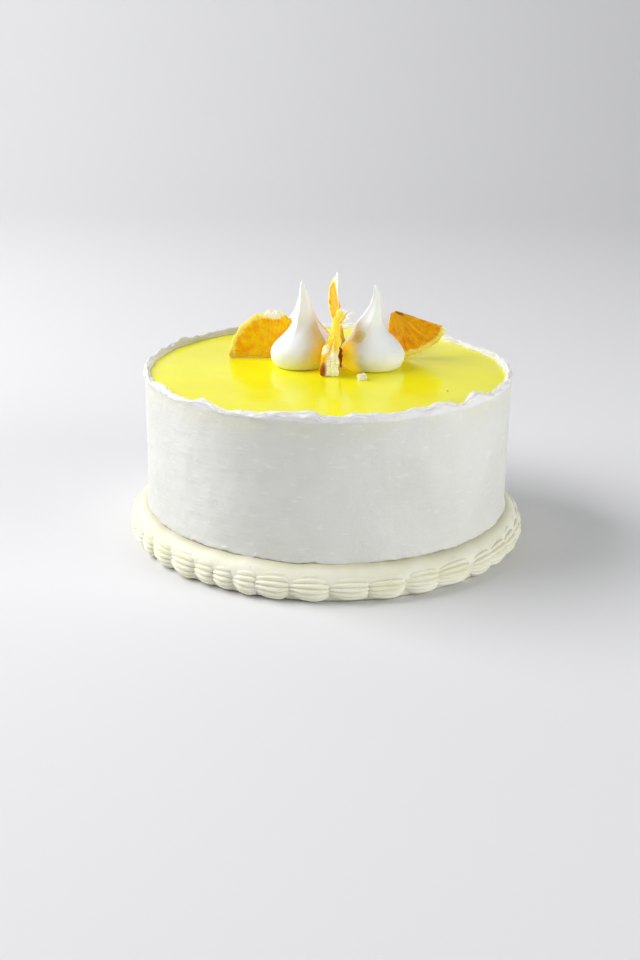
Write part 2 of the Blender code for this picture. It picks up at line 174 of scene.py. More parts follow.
# Each kiss: centre x and y, radius, height, and how much slimmer its spire is
# near the tip, as a share.
KISSES = {
    "kiss_front_left": (-17.0 * MM, 8.0 * MM, 16.7 * MM, 50.0 * MM, 0.14),
    "kiss_front_right": (25.3 * MM, 8.0 * MM, 18.9 * MM, 48.5 * MM, 0.36),
    "kiss_back_left": (-18.0 * MM, 48.6 * MM, 19.4 * MM, 38.0 * MM, 0.0),
    "kiss_back_right": (33.5 * MM, 51.0 * MM, 18.5 * MM, 37.0 * MM, 0.0),
}

# Between which shares of its height a spire grows slimmer, and its ridges
# stand out.
THINNED_LEVELS = (0.56, 0.86)
RIDGED_LEVELS = (0.26, 0.62)

# How each spire sways on its way up: share of the height, shift in x.
KISS_SWAYS = {
    "kiss_front_left": ((0.2, 0.0), (0.43, 2.5 * MM), (0.62, 2.9 * MM), (1.0, 1.4 * MM)),
    "kiss_front_right": (
        (0.2, 0.0), (0.35, -0.5 * MM), (0.52, -2.0 * MM),
        (0.62, -0.6 * MM), (0.8, 1.6 * MM), (1.0, 0.9 * MM),
    ),
    "kiss_back_left": ((0.2, 0.0), (0.52, 2.4 * MM), (1.0, 2.8 * MM)),
    "kiss_back_right": ((0.2, 0.0), (0.52, -3.6 * MM), (1.0, -4.2 * MM)),
}

# The ridges drawn up each spire: direction in degrees, and the angle between
# the ridge and the middle of the flat facet on each side of it.
KISS_RIDGES = {
    "kiss_front_left": ((-118.0, 44.0), (50.0, 30.0)),
    "kiss_front_right": ((-146.0, 36.0), (-88.0, 34.0), (45.0, 30.0)),
    "kiss_back_left": ((-60.0, 36.0), (110.0, 30.0)),
    "kiss_back_right": ((150.0, 36.0), (-30.0, 30.0)),
}

# Half a section through a slice, from its point out to the rind: share of the
# radius, half of the thickness.
SLICE_OUTLINE = (
    (0.055, 0.5 * MM), (0.07, 1.3 * MM), (0.12, 1.6 * MM), (0.85, 1.6 * MM), (0.90, 2.1 * MM),
    (0.96, 2.3 * MM), (0.99, 1.7 * MM), (1.0, 0.9 * MM),
)
SLICE_SHARES = 56
SLICE_TURN_STEP = 1.2
SLICE_WAVES = 3.0
SEGMENT_DEGREES = 36.0
SEGMENT_SHIFT = 7.0
SEGMENT_DEPTH = 0.5 * MM
THINNEST_HALF = 0.4 * MM
RIND_FRILL = 0.45 * MM

# Each slice: x and y of its point, radius, and its height as a share of a
# round slice's.
SLICES = {
    "orange_left": (-32.0 * MM, 24.2 * MM, 27.0 * MM, 1.0),
    "orange_right": (37.0 * MM, 28.8 * MM, 35.5 * MM, 0.8),
    "orange_front": (3.5 * MM, 8.3 * MM, 26.4 * MM, 1.0),
    "orange_back": (6.4 * MM, 38.0 * MM, 27.6 * MM, 1.0),
}

# How each slice stands: the direction of its plane, its lean, and the sector
# of the round that it fills, in degrees.
SLICE_STANDS = {
    "orange_left": (180.0, -5.0, 0.0, 122.0),
    "orange_right": (-6.0, 2.0, -96.0, -20.0),
    "orange_front": (-97.0, 9.0, -17.0, 83.0),
    "orange_back": (96.0, 3.0, -57.0, 57.0),
}

# How each slice has warped as it dried: how far its rind waves, the phase of
# that wave in degrees, and how far its low part bulges and curls back. Then
# the shares of the radius where it bulges, and the turns between which its
# low part ends.
SLICE_WARPS = {
    "orange_left": (0.9 * MM, 304.0, 0.0, 0.0),
    "orange_right": (0.9 * MM, 48.0, 0.0, 0.0),
    "orange_front": (1.2 * MM, 344.0, 3.4 * MM, 6.9 * MM),
    "orange_back": (2.2 * MM, -126.0, 0.0, 0.0),
}
BULGED_SHARES = (0.25, 0.65)
CURLED_TURNS = (25.0, 60.0)

# The low part of one slice is also folded towards the front: how far
# forwards and down, and at which shares of the radius the fold begins and
# stands out most.
FOLDED_SLICE = "orange_front"
FOLD_FORWARDS = 9.5 * MM
FOLD_DOWN = 3.2 * MM
FOLDED_SHARES = (0.2, 0.62)

# The small step, as a share of the radius, over which a slice's slope is read.
SLOPE_STEP = 0.01

# One slice has its rind torn off, from and to which turn in degrees, and
# the share of the radius that is gone there.
TORN_SLICE = "orange_left"
TORN_TURNS = (92.0, 116.0)
TORN_SHARE = 0.12

# Scorched places of the slices: turn in degrees, share of the radius, side
# (1, -1 or 0 for both), width in degrees, depth as a share, and strength.
# One of them is partly painted shadow.
SCORCHES = {
    "orange_left": ((2.0, 0.98, 0, 9.0, 0.12, 0.5), (40.0, 0.84, 0, 60.0, 0.02, 0.12)),
    "orange_right": ((-22.0, 0.14, 0, 14.0, 0.10, 0.85), (-40.0, 1.0, 0, 9.0, 0.03, 0.5)),
    "orange_front": (
        (-9.0, 0.71, 1, 17.0, 0.07, 1.0),
        # Partly scorched flesh, partly painted shadow: the dark red back face in the gap between this slice
        # and the front right kiss.
        (5.0, 0.6, -1, 40.0, 0.3, 0.9),
        (10.0, 0.97, -1, 14.0, 0.03, 0.6),
        (38.0, 0.90, -1, 10.0, 0.12, 0.35),
    ),
    "orange_back": ((36.0, 0.62, 0, 6.0, 0.2, 0.3),),
}

# Bleached, wrinkled pith of the slices, and one painted highlight, given in the same way.
PALE_PLACES = {
    "orange_left": ((88.0, 0.95, 0, 13.0, 0.13, 1.0),),
    "orange_right": ((-20.0, 0.97, 0, 8.0, 0.08, 0.7),),
    "orange_front": (
        (82.0, 0.97, 0, 10.0, 0.12, 1.0),
        (-6.0, 0.90, 0, 26.0, 0.19, 1.0),
        # Painted highlight: a pale patch on the front face of the front slice where the light catches it,
        # not pith.
        (24.0, 0.74, 1, 9.0, 0.11, 0.66),
    ),
    "orange_back": ((58.0, 0.9, 0, 17.0, 0.7, 1.0),),
}

# Thin ruffles that stand off a slice: the turns in degrees between which
# one runs, the shares of the radius and the distances from the slice's
# middle of its root and of its free edge, how deeply it is ruffled, how
# pale it is and how scorched.
SLICE_RUFFLES = (
    ("orange_left", (76.0, 100.0), (0.85, 1.0), (0.6 * MM, 2.6 * MM), 1.1 * MM, 1.0, 0.0),
    ("orange_front", (54.0, 85.0), (0.86, 1.0), (-1.6 * MM, -5.6 * MM), 1.2 * MM, 1.0, 0.0),
    # Partly scorched flesh, partly a dark sheet standing in for the shadow in the gap between the front
    # slice and the front right kiss.
    ("orange_front", (-17.0, 38.0), (0.15, 0.42), (-1.0 * MM, -7.5 * MM), 0.6 * MM, 0.0, 1.0),
)
RUFFLE_STEPS = 72
RUFFLE_ROWS = 10
RUFFLE_THICKNESS = 0.5 * MM
RUFFLE_STREAKS = 9.0 * MM

# The upper end of one slice thins out to a tip: from and to which turn in
# degrees, and by what share.
TIPPED_SLICE = "orange_back"
TIP_TURNS = (18.0, 57.0)
TIP_THINNING = 0.8

# What the orange's material reads from each vertex.
SLICE_MARKS = ("scorch", "pale", "glow")

# Painted light: how much brighter each slice's pulp is painted, and how strongly it glows, standing in for
# the light that falls on it and shines through it.
SLICE_GLOWS = {"orange_left": 1.0, "orange_right": 0.25, "orange_front": 1.0, "orange_back": 0.7}

# Spots on the front right kiss, each a centre, a radius and how ragged its
# edge is: a brownish one, a yellow one that is partly the stain of the slice
# beside it and partly painted light bounced off the slice and the glaze, and
# a painted glow where the light shines through the slice.
BROWNISH_SPOT = ((17.2 * MM, -1.2 * MM, 116.2 * MM), 4.6 * MM, 1.5)
STAIN_AND_BOUNCE_SPOT = ((3.5 * MM, 0.0, 98.5 * MM), 20.0 * MM, 0.25)
LIT_SPOT = ((10.5 * MM, 0.0, 102.0 * MM), 13.8 * MM, 0.25)
UNLIT = (0.0, 0.0, 0.0)

# Small bits that lie on the glaze.
CRUMB_PLACE = (19.0 * MM, -22.4 * MM)
CRUMB_SIZE = (4.6 * MM, 3.8 * MM, 3.4 * MM)
SPECK_PLACE = (65.5 * MM, -42.8 * MM)
SPECK_SIZE = (1.2 * MM, 0.8 * MM, 0.4 * MM)

# Soft light, strong from the left and weaker and lower from the right. Each
# lamp has a name, a place, the point it faces, a size, a power and a colour.
LAMPS = (
    ("left_window", (-1.15, -0.05, 1.05), (0.0, 0.0, 0.06), 1.2, 22.8, (1.0, 0.99, 1.0)),
    ("right_window", (1.3, -0.66, 0.48), (0.0, 0.0, 0.06), 0.9, 12.0, (1.0, 1.0, 0.98)),
    ("backdrop_light", (-1.5, 0.9, 1.4), (-0.3, 1.9, 1.0), 0.8, 15.2, (1.0, 1.0, 1.0)),
)
WORLD_STRENGTH = 0.215

# The floor in metres: half its width, where it begins to bend up and how
# widely, and the height it reaches.
FLOOR_HALF = 5.0
FLOOR_BEND_AT = 1.2
FLOOR_BEND = 0.9
FLOOR_TOP = 4.0

# The camera stands where the photograph was taken from: its place, and its
# turn, tilt and roll in degrees.
CAMERA_PLACE = (0.0, -0.7469, 0.2967)
CAMERA_TURN = 0.30
CAMERA_DOWN = 19.76
CAMERA_ROLL = 0.78
CAMERA_LENS = 50.0
SENSOR_WIDTH = 36.0


# Modelling helpers.

def select_only(piece):
    """Deselect everything, then select and activate one object."""
    bpy.ops.object.select_all(action="DESELECT")
    piece.select_set(True)
    bpy.context.view_layer.objects.active = piece


def start_editing(piece):
    """Enter edit mode on one piece, with all of it selected."""
    select_only(piece)
    bpy.ops.object.mode_set(mode="EDIT")
    bpy.ops.mesh.select_all(action="SELECT")


def stop_editing():
    """Go back to object mode."""
    bpy.ops.object.mode_set(mode="OBJECT")


def face_outwards(piece, has_seams=False):
    """Point every face outwards, and first close seams and poles where there are any."""
    start_editing(piece)
    if has_seams:
        bpy.ops.mesh.remove_doubles(threshold=MERGE_DISTANCE)
    bpy.ops.mesh.normals_make_consistent(inside=False)
    stop_editing()


def finish_piece(piece, body, material, nodes=(), sharp=60.0):
    """Smooth, paint and register one finished piece."""
    select_only(piece)
    bpy.ops.object.shade_smooth_by_angle(angle=math.radians(sharp))
    piece.data.materials.clear()
    piece.data.materials.append(material)
    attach(piece, body)
    if nodes:
        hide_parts(*nodes)
    return piece


def curve_through(corners, spacing):
    """Points along a smooth curve through the corners, at about one spacing."""
    points = [Vector(corner) for corner in corners]
    padded = [2.0 * points[0] - points[1]] + points + [2.0 * points[-1] - points[-2]]
    path = []
    for index in range(len(points) - 1):
        before, start, stop, after = padded[index:index + 4]
        count = max(1, round((stop - start).length / spacing))
        for step in range(count):
            share = step / count
            square, cube = share * share, share * share * share
            path.append(0.5 * (
                2.0 * start + (stop - before) * share
                + (2.0 * before - 5.0 * start + 4.0 * stop - after) * square
                + (3.0 * start - before - 3.0 * stop + after) * cube
            ))
    path.append(points[-1])
    return path


def outline_in_metres(corners, spacing):
    """A curve through corners that are given in millimetres."""
    return [point * MM for point in curve_through(corners, spacing)]


def add_object(name, data):
    """A new object in the scene."""
    item = bpy.data.objects.new(name, data)
    bpy.context.scene.collection.objects.link(item)
    return item


def place_primitive(name):
    """Name the primitive just added, and put its place and size into its mesh."""
    piece = bpy.context.object
    piece.name = name
    bpy.ops.object.transform_apply(location=True, rotation=True, scale=True)
    return piece


def draw_line(name, points, is_closed=False):
    """A wire through the points, ready to be turned."""
    mesh = bpy.data.meshes.new(name)
    edges = [(index, index + 1) for index in range(len(points) - 1)]
    if is_closed:
        edges.append((len(points) - 1, 0))
    mesh.from_pydata([tuple(point) for point in points], edges, [])
    return add_object(name, mesh)


def apply_modifier(piece, kind, **settings):
    """Add a modifier with its settings, and apply it to the mesh."""
    modifier = piece.modifiers.new("shaping", kind)
    for key, value in settings.items():
        setattr(modifier, key, value)
    select_only(piece)
    bpy.ops.object.modifier_apply(modifier=modifier.name)


def turn_line(piece, steps, degrees=360.0):
    """Turn a wire about +Z into a surface."""
    apply_modifier(
        piece, "SCREW", axis="Z", angle=math.radians(degrees), steps=steps, render_steps=steps,
        use_merge_vertices=degrees == 360.0, merge_threshold=MERGE_DISTANCE,
    )


def turned_piece(name, outline, steps):
    """A closed piece from an outline of radius and height, turned about +Z."""
    piece = draw_line(name, [(point[0], 0.0, point[1]) for point in outline])
    turn_line(piece, steps)
    face_outwards(piece, has_seams=True)
    return piece


def read_points(piece):
    """The piece's vertices as an array."""
    points = np.zeros(len(piece.data.vertices) * 3)
    piece.data.vertices.foreach_get("co", points)
    return points.reshape(-1, 3)


def write_points(piece, points):
    """Put moved vertices back."""
    piece.data.vertices.foreach_set("co", points.ravel())
    piece.data.update()


def polar(points):
    """Each point's distance from the middle, and its polar angle."""
    return np.hypot(points[:, 0], points[:, 1]), np.arctan2(points[:, 1], points[:, 0])


def weight_group(piece, weights):
    """The name of a new vertex group with one weight per vertex."""
    group = piece.vertex_groups.new(name="rough")
    levels = np.round(np.clip(weights, 0.0, 1.0) * WEIGHT_LEVELS).astype(int)
    for level in range(1, WEIGHT_LEVELS + 1):
        members = np.nonzero(levels == level)[0].tolist()
        if members:
            group.add(members, level / WEIGHT_LEVELS, "REPLACE")
    return group.name


def roughen(piece, kind, weights=None):
    """Push the surface in and out by cloudy noise, as much as the weights say."""
    grain, depth = ROUGH[kind]
    texture = bpy.data.textures.new("rough_" + piece.name, "CLOUDS")
    texture.noise_basis = "IMPROVED_PERLIN"
    texture.noise_scale = grain
    texture.noise_depth = 2
    apply_modifier(
        piece, "DISPLACE", texture=texture, texture_coords="LOCAL", direction="NORMAL", mid_level=0.5,
        strength=depth, vertex_group="" if weights is None else weight_group(piece, weights),
    )


def smooth_step(value):
    """Ease from 0 to 1 with flat ends, for numbers or arrays."""
    share = np.clip(value, 0.0, 1.0)
    return share * share * (3.0 - 2.0 * share)


def ease(value, start, stop):
    """Ease from 0 at one value to 1 at another."""
    return smooth_step((value - start) / (stop - start))


def angle_between(angle, other):
    """Smallest difference of angles in degrees."""
    return np.abs((angle - other + 180.0) % 360.0 - 180.0)


def smears(angle, per_turn, seed, across=0.0):
    """Soft random smears, -1 to 1: some number of them in a turn, and one per unit across."""
    table = np.random.default_rng(seed).uniform(-1.0, 1.0, (per_turn, SMEAR_ROWS))
    column = (angle / math.tau) % 1.0 * per_turn
    left = np.floor(column).astype(int) % per_turn
    right = (left + 1) % per_turn
    low = np.floor(across).astype(int)
    share_x = smooth_step(column - np.floor(column))
    share_y = smooth_step(across - np.floor(across))
    below, above = (
        table[left, row % SMEAR_ROWS] * (1.0 - share_x) + table[right, row % SMEAR_ROWS] * share_x
        for row in (low, low + 1)
    )
    return below * (1.0 - share_y) + above * share_y


def make_ripple(seed, waves):
    """A closed, repeatable ripple round the cake, between about -1 and 1."""
    draw = random.Random(seed)
    parts = [(wave, draw.uniform(0.0, math.tau), draw.uniform(0.6, 1.0)) for wave in waves]
    total = sum(weight for _, _, weight in parts)

    def ripple(angle, height=0.0):
        twist = RIPPLE_TWIST * height / GLAZE_TOP
        return RIPPLE_GAIN / total * sum(
            weight * np.sin(wave * (angle + twist) + phase)
            for wave, phase, weight in parts
        )

    return ripple


def rim_crest(degrees):
    """How far the rim's crest stands above its usual height."""
    angles = np.array([knot[0] for knot in RIM_CREST])
    heights = np.array([knot[1] for knot in RIM_CREST])
    low = np.clip(np.searchsorted(angles, degrees) - 1, 0, len(angles) - 2)
    share = smooth_step((degrees - angles[low]) / (angles[low + 1] - angles[low]))
    return (heights[low] + (heights[low + 1] - heights[low]) * share) * MM


def rim_spill(degrees):
    """How far the icing spills inwards over the glaze's edge."""
    return sum(
        reach * np.exp(-(angle_between(degrees, direction) / width) ** 2)
        for direction, width, reach in RIM_SPILLS
    )


# Material helpers. A socket's id_data is the node tree that it is in.

def add_node(tree, kind, inputs=None, **settings):
    """A shader node with its settings and its inputs linked or filled in."""
    node = tree.nodes.new(kind)
    for key, value in settings.items():
        setattr(node, key, value)
    for key, value in (inputs or {}).items():
        if isinstance(value, bpy.types.NodeSocket):
            tree.links.new(value, node.inputs[key])
        else:
            node.inputs[key].default_value = value
    return node


def new_material(name, roughness, **sockets):
    """A Principled material and its Object coordinates."""
    material = bpy.data.materials.new(name)
    material.use_nodes = True
    nodes = material.node_tree.nodes
    for key, value in {"Roughness": roughness, **sockets}.items():
        nodes["Principled BSDF"].inputs[key.replace("_", " ")].default_value = value
    return material, nodes.new("ShaderNodeTexCoord").outputs["Object"]


def noise(place, scale, detail=2.0, rough=0.5, stretch=None):
    """A noise value, its pattern stretched by a Mapping node where asked."""
    if stretch is not None:
        inputs = {"Vector": place, "Scale": stretch}
        place = add_node(place.id_data, "ShaderNodeMapping", inputs).outputs["Vector"]
    return add_node(
        place.id_data, "ShaderNodeTexNoise",
        {"Vector": place, "Scale": scale, "Detail": detail, "Roughness": rough},
    ).outputs["Fac"]


def remap(value, low, high, to_low=0.0, to_high=1.0):
    """Ease a value from one range to another, clamped."""
    return add_node(
        value.id_data, "ShaderNodeMapRange",
        {"Value": value, "From Min": low, "From Max": high, "To Min": to_low, "To Max": to_high},
        interpolation_type="SMOOTHSTEP",
    ).outputs["Result"]


def maths(operation, first, second=0.0):
    """One Math node."""
    inputs = {0: first, 1: second}
    return add_node(first.id_data, "ShaderNodeMath", inputs, operation=operation).outputs["Value"]


def times(first, second):
    """Multiply two values."""
    return maths("MULTIPLY", first, second)


def plus(first, second, share=1.0):
    """Add a share of the second value to the first."""
    if share != 1.0:
        second = times(second, share)
    return maths("ADD", first, second)


def mix_colours(share, first, second):
    """Mix two colours by a share."""
    tree = share.id_data
    node = add_node(tree, "ShaderNodeMix", {"Factor": share}, data_type="RGBA")
    sockets = [socket for socket in node.inputs if socket.type == "RGBA"]
    for socket, value in zip(sockets, (first, second)):
        if isinstance(value, bpy.types.NodeSocket):
            tree.links.new(value, socket)
        else:
            socket.default_value = (*value, 1.0)
    return [socket for socket in node.outputs if socket.type == "RGBA"][0]


def lay_over(colour, mask, over, strength=1.0):
    """Lay another colour over one where the mask says."""
    if strength != 1.0:
        mask = times(mask, strength)
    return mix_colours(mask, colour, over)


def link(value, socket):
    """Link a value to a socket of the material's shader."""
    value.id_data.links.new(value, value.id_data.nodes["Principled BSDF"].inputs[socket])


def finish_skin(colour, height, depth, gloss=None, roughness=None):
    """Link the colour, a relief of some depth in metres and, where given, an uneven roughness."""
    link(colour, "Base Color")
    inputs = {"Height": height, "Distance": depth, "Strength": 1.0}
    relief = add_node(height.id_data, "ShaderNodeBump", inputs)
    link(relief.outputs["Normal"], "Normal")
    if gloss is not None:
        link(remap(gloss, 0.3, 0.7, *roughness), "Roughness")


def make_uneven_tone():
    """Node group: a soft, cloudy change between two near colours."""
    group = bpy.data.node_groups.new("uneven_tone", "ShaderNodeTree")
    for label, kind in (("Place", "Vector"), ("Scale", "Float"), ("Light", "Color"), ("Dark", "Color")):
        group.interface.new_socket(name=label, in_out="INPUT", socket_type="NodeSocket" + kind)
    group.interface.new_socket(name="Colour", in_out="OUTPUT", socket_type="NodeSocketColor")
    given = group.nodes.new("NodeGroupInput").outputs
    result = group.nodes.new("NodeGroupOutput").inputs
    share = remap(noise(given["Place"], given["Scale"], 3.0), 0.3, 0.7)
    group.links.new(mix_colours(share, given["Dark"], given["Light"]), result["Colour"])
    return group


def toned(tone, place, scale, light, dark):
    """The uneven tone of one material."""
    inputs = {"Place": place, "Scale": scale, "Light": (*light, 1.0), "Dark": (*dark, 1.0)}
    return add_node(place.id_data, "ShaderNodeGroup", inputs, node_tree=tone).outputs["Colour"]


def level_of(place):
    """The height of the surface above the cake's foot."""
    return add_node(place.id_data, "ShaderNodeSeparateXYZ", {"Vector": place}).outputs["Z"]


def round_spot(place, centre, radius, ragged):
    """A mask: a soft round spot about a centre, with a ragged edge."""
    tree = place.id_data
    far = add_node(tree, "ShaderNodeVectorMath", {0: place, 1: centre}, operation="DISTANCE")
    share = maths("DIVIDE", far.outputs["Value"], radius)
    cloud = maths("SUBTRACT", noise(place, 420.0, 3.0), 0.5)
    return remap(plus(share, cloud, ragged), 0.55, 1.0, 1.0, 0.0)


# Materials.

def make_icing(tone):
    """White buttercream, drawn smooth with a spatula, painted lighter along the rim's top where it faces
    the light, and painted darker just under the rim.
    """
    material, place = new_material(
        "white_icing", 0.5, Subsurface_Weight=0.12, Subsurface_Scale=0.004,
        Subsurface_Radius=(1.0, 0.9, 0.7), Specular_IOR_Level=0.55
    )
    colour = toned(tone, place, 22.0, (0.80, 0.805, 0.76), (0.73, 0.74, 0.68))
    level = level_of(place)
    blots = noise(place, 60.0, 3.0, 0.6)
    # Painted shade: a darker, yellower blotchy band on the side, strongest just under the rim's overhang.
    shade_under_rim = times(remap(level, 0.082, 0.094), remap(blots, 0.35, 0.65))
    colour = lay_over(colour, shade_under_rim, (0.78, 0.78, 0.60), 0.6)
    flecks = remap(noise(place, 1.0, 2.0, 0.5, (150.0, 150.0, 430.0)), 0.6, 0.74)
    colour = lay_over(colour, flecks, (0.95, 0.95, 0.94), 0.32)
    # Painted highlight: the rim's top is painted lighter than the side because it faces up into the light.
    on_rim = remap(plus(level, blots, 0.003), 0.0975, 0.0990)
    colour = lay_over(colour, on_rim, (0.89, 0.885, 0.87))
    streaks = noise(place, 1.0, 4.0, 0.6, (38.0, 38.0, 260.0))
    height = plus(noise(place, 30.0, 3.0), streaks, 0.35)
    height = plus(height, noise(place, 700.0, 3.0), 0.13)
    height = plus(height, blots, 0.5)
    finish_skin(colour, height, 0.0013, streaks, (0.36, 0.5))
    return material


def make_glaze_finish(tone):
    """Poured lemon glaze: clear yellow, glossy, with slow waves."""
    material, place = new_material("lemon_glaze", 0.16, IOR=1.36, Specular_IOR_Level=0.35)
    colour = toned(tone, place, 16.0, (0.98, 0.95, 0.013), (0.93, 0.89, 0.011))
    slow = noise(place, 26.0, 1.0)
    height = plus(slow, noise(place, 140.0, 2.0), 0.06)
    finish_skin(colour, height, 0.0012, slow, (0.13, 0.22))
    return material


def make_cream(tone):
    """Pale piped cream with a satin skin, small burst bubbles and a shaded place under the lip."""
    material, place = new_material(
        "border_cream", 0.42, Subsurface_Weight=0.15, Subsurface_Scale=0.003,
        Subsurface_Radius=(1.0, 0.85, 0.5), Specular_IOR_Level=0.4
    )
    colour = toned(tone, place, 60.0, (0.92, 0.91, 0.76), (0.87, 0.855, 0.66))
    tree = place.id_data
    flat = add_node(tree, "ShaderNodeVectorMath", {0: place, 1: (1.0, 1.0, 0.0)}, operation="MULTIPLY")
    reach = add_node(tree, "ShaderNodeVectorMath", {0: flat.outputs["Vector"]}, operation="LENGTH")
    at_lip = remap(reach.outputs["Value"], 0.1055, 0.1108, 1.0, 0.0)
    colour = lay_over(colour, at_lip, (0.56, 0.54, 0.35), 0.65)
    grain = noise(place, 420.0, 4.0, 0.6)
    cells = add_node(tree, "ShaderNodeTexVoronoi", {"Vector": place, "Scale": 380.0, "Randomness": 1.0})
    hole = remap(cells.outputs["Distance"], 0.08, 0.28, 1.0, 0.0)
    draw = add_node(tree, "ShaderNodeSeparateColor", {"Color": cells.outputs["Color"]}).outputs[0]
    burst = times(hole, maths("LESS_THAN", draw, 0.10))
    finish_skin(colour, plus(grain, burst, -0.8), 0.00018, grain, (0.36, 0.5))
    return material


def make_meringue(tone):
    """Dry white meringue, smooth and matt, yellow between the kisses partly from the slice's stain and
    partly from painted bounce light and a painted glow, with a painted glaze reflection at its foot.
    """
    material, place = new_material(
        "meringue", 0.5, Subsurface_Weight=0.06, Subsurface_Scale=0.002,
        Subsurface_Radius=(1.0, 0.9, 0.8), Specular_IOR_Level=0.4, Emission_Strength=0.42
    )
    colour = toned(tone, place, 90.0, (0.925, 0.945, 1.0), (0.89, 0.91, 0.98))
    # Painted reflection: the kiss's foot is tinted yellow, standing in for light bounced up from the glaze.
    foot = remap(level_of(place), 0.0968, 0.1010, 1.0, 0.0)
    colour = lay_over(colour, foot, (1.0, 0.93, 0.30), 0.4)
    # Partly the slice's stain and partly painted light: yellow bounced off the slice and the glaze.
    colour = lay_over(colour, round_spot(place, *STAIN_AND_BOUNCE_SPOT), (0.84, 0.77, 0.07), 0.9)
    # A small brownish-yellow spot on the kiss's left shoulder.
    colour = lay_over(colour, round_spot(place, *BROWNISH_SPOT), (0.84, 0.69, 0.13), 0.6)
    # Painted glow: emission standing in for the light that shines through the slice onto the kiss.
    shining = mix_colours(round_spot(place, *LIT_SPOT), UNLIT, (1.0, 0.68, 0.015))
    link(shining, "Emission Color")
    grain = noise(place, 900.0, 3.0)
    height = plus(noise(place, 120.0, 2.0), grain, 0.15)
    finish_skin(colour, height, 0.00025, grain, (0.48, 0.62))
    return material


def make_orange_finish():
    """Dried orange: amber pulp in segments, painted brighter and glowing where light shines through it,
    pale frilly pith with one painted highlight, and yellow rind.
    """
    material, place = new_material(
        "dried_orange", 0.36, Subsurface_Weight=0.45, Subsurface_Scale=0.004,
        Subsurface_Radius=(1.0, 0.6, 0.1), Specular_IOR_Level=0.18, Emission_Strength=0.13
    )
    tree = place.id_data
    peel = add_node(tree, "ShaderNodeUVMap", uv_map="peel").outputs["UV"]
    parts = add_node(tree, "ShaderNodeSeparateXYZ", {"Vector": peel}).outputs
    turn, share = parts["X"], parts["Y"]
    scorch, pale, glow = (
        add_node(tree, "ShaderNodeAttribute", attribute_name=mark).outputs["Fac"]
        for mark in SLICE_MARKS
    )

    streaks = noise(peel, 1.0, 3.0, 0.6, (17.0, 4.0, 1.0))
    hairs = noise(peel, 1.0, 2.0, 0.5, (26.0, 2.5, 1.0))
    cloud = noise(place, 240.0, 3.0, 0.6)
    # Painted light: slices with more glow get brighter pulp colours.
    deep = mix_colours(glow, (0.70, 0.23, 0.001), (0.95, 0.40, 0.001))
    bright = mix_colours(glow, (0.90, 0.46, 0.003), (1.0, 0.66, 0.003))
    colour = mix_colours(remap(plus(streaks, cloud), 0.7, 1.25), deep, bright)
    hair = times(remap(hairs, 0.60, 0.70), remap(share, 0.3, 0.75, 0.8, 0.1))
    colour = lay_over(colour, hair, (1.0, 0.66, 0.14))
    into = maths("SUBTRACT", maths("FRACT", turn), 0.5)
    membrane = remap(maths("ABSOLUTE", into), 0.44, 0.5)
    colour = lay_over(colour, membrane, (0.98, 0.68, 0.08), 0.3)

    ragged = times(maths("SUBTRACT", cloud, 0.5), 0.12)
    edge = plus(share, ragged)
    colour = lay_over(colour, remap(edge, 0.87, 0.92), (0.95, 0.80, 0.20))
    colour = lay_over(colour, remap(edge, 0.95, 0.985), (0.94, 0.73, 0.07))
    wrinkles = remap(streaks, 0.34, 0.52)
    # Pale pith, and the one painted highlight, in the same pale wrinkled colour.
    pith_and_highlight = mix_colours(wrinkles, (0.80, 0.74, 0.50), (0.97, 0.95, 0.80))
    colour = lay_over(colour, remap(plus(pale, ragged), 0.25, 0.65), pith_and_highlight)
    burnt = remap(plus(scorch, ragged), 0.1, 0.75)
    char = mix_colours(scorch, (0.60, 0.22, 0.01), (0.22, 0.02, 0.002))
    colour = lay_over(colour, burnt, char, 0.92)
    # Painted glow: the slice's own colour is emitted as far as its glow goes.
    link(mix_colours(glow, UNLIT, colour), "Emission Color")
    grain = noise(place, 600.0, 4.0, 0.6)
    finish_skin(colour, plus(streaks, grain, 0.4), 0.0006, grain, (0.3, 0.5))
    return material


def make_burnt_bit():
    """A brown crisp bit."""
    material, place = new_material("burnt_bit", 0.5)
    cloud = noise(place, 900.0, 3.0)
    finish_skin(mix_colours(cloud, (0.22, 0.13, 0.02), (0.42, 0.30, 0.05)), cloud, 0.0002)
    return material


def make_crumb_finish(tone):
    """The pale inside of a broken meringue crumb."""
    material, place = new_material("meringue_crumb", 0.6)
    colour = toned(tone, place, 500.0, (0.94, 0.93, 0.82), (0.88, 0.85, 0.62))
    finish_skin(colour, noise(place, 1500.0, 3.0), 0.0002)
    return material


# Pieces.

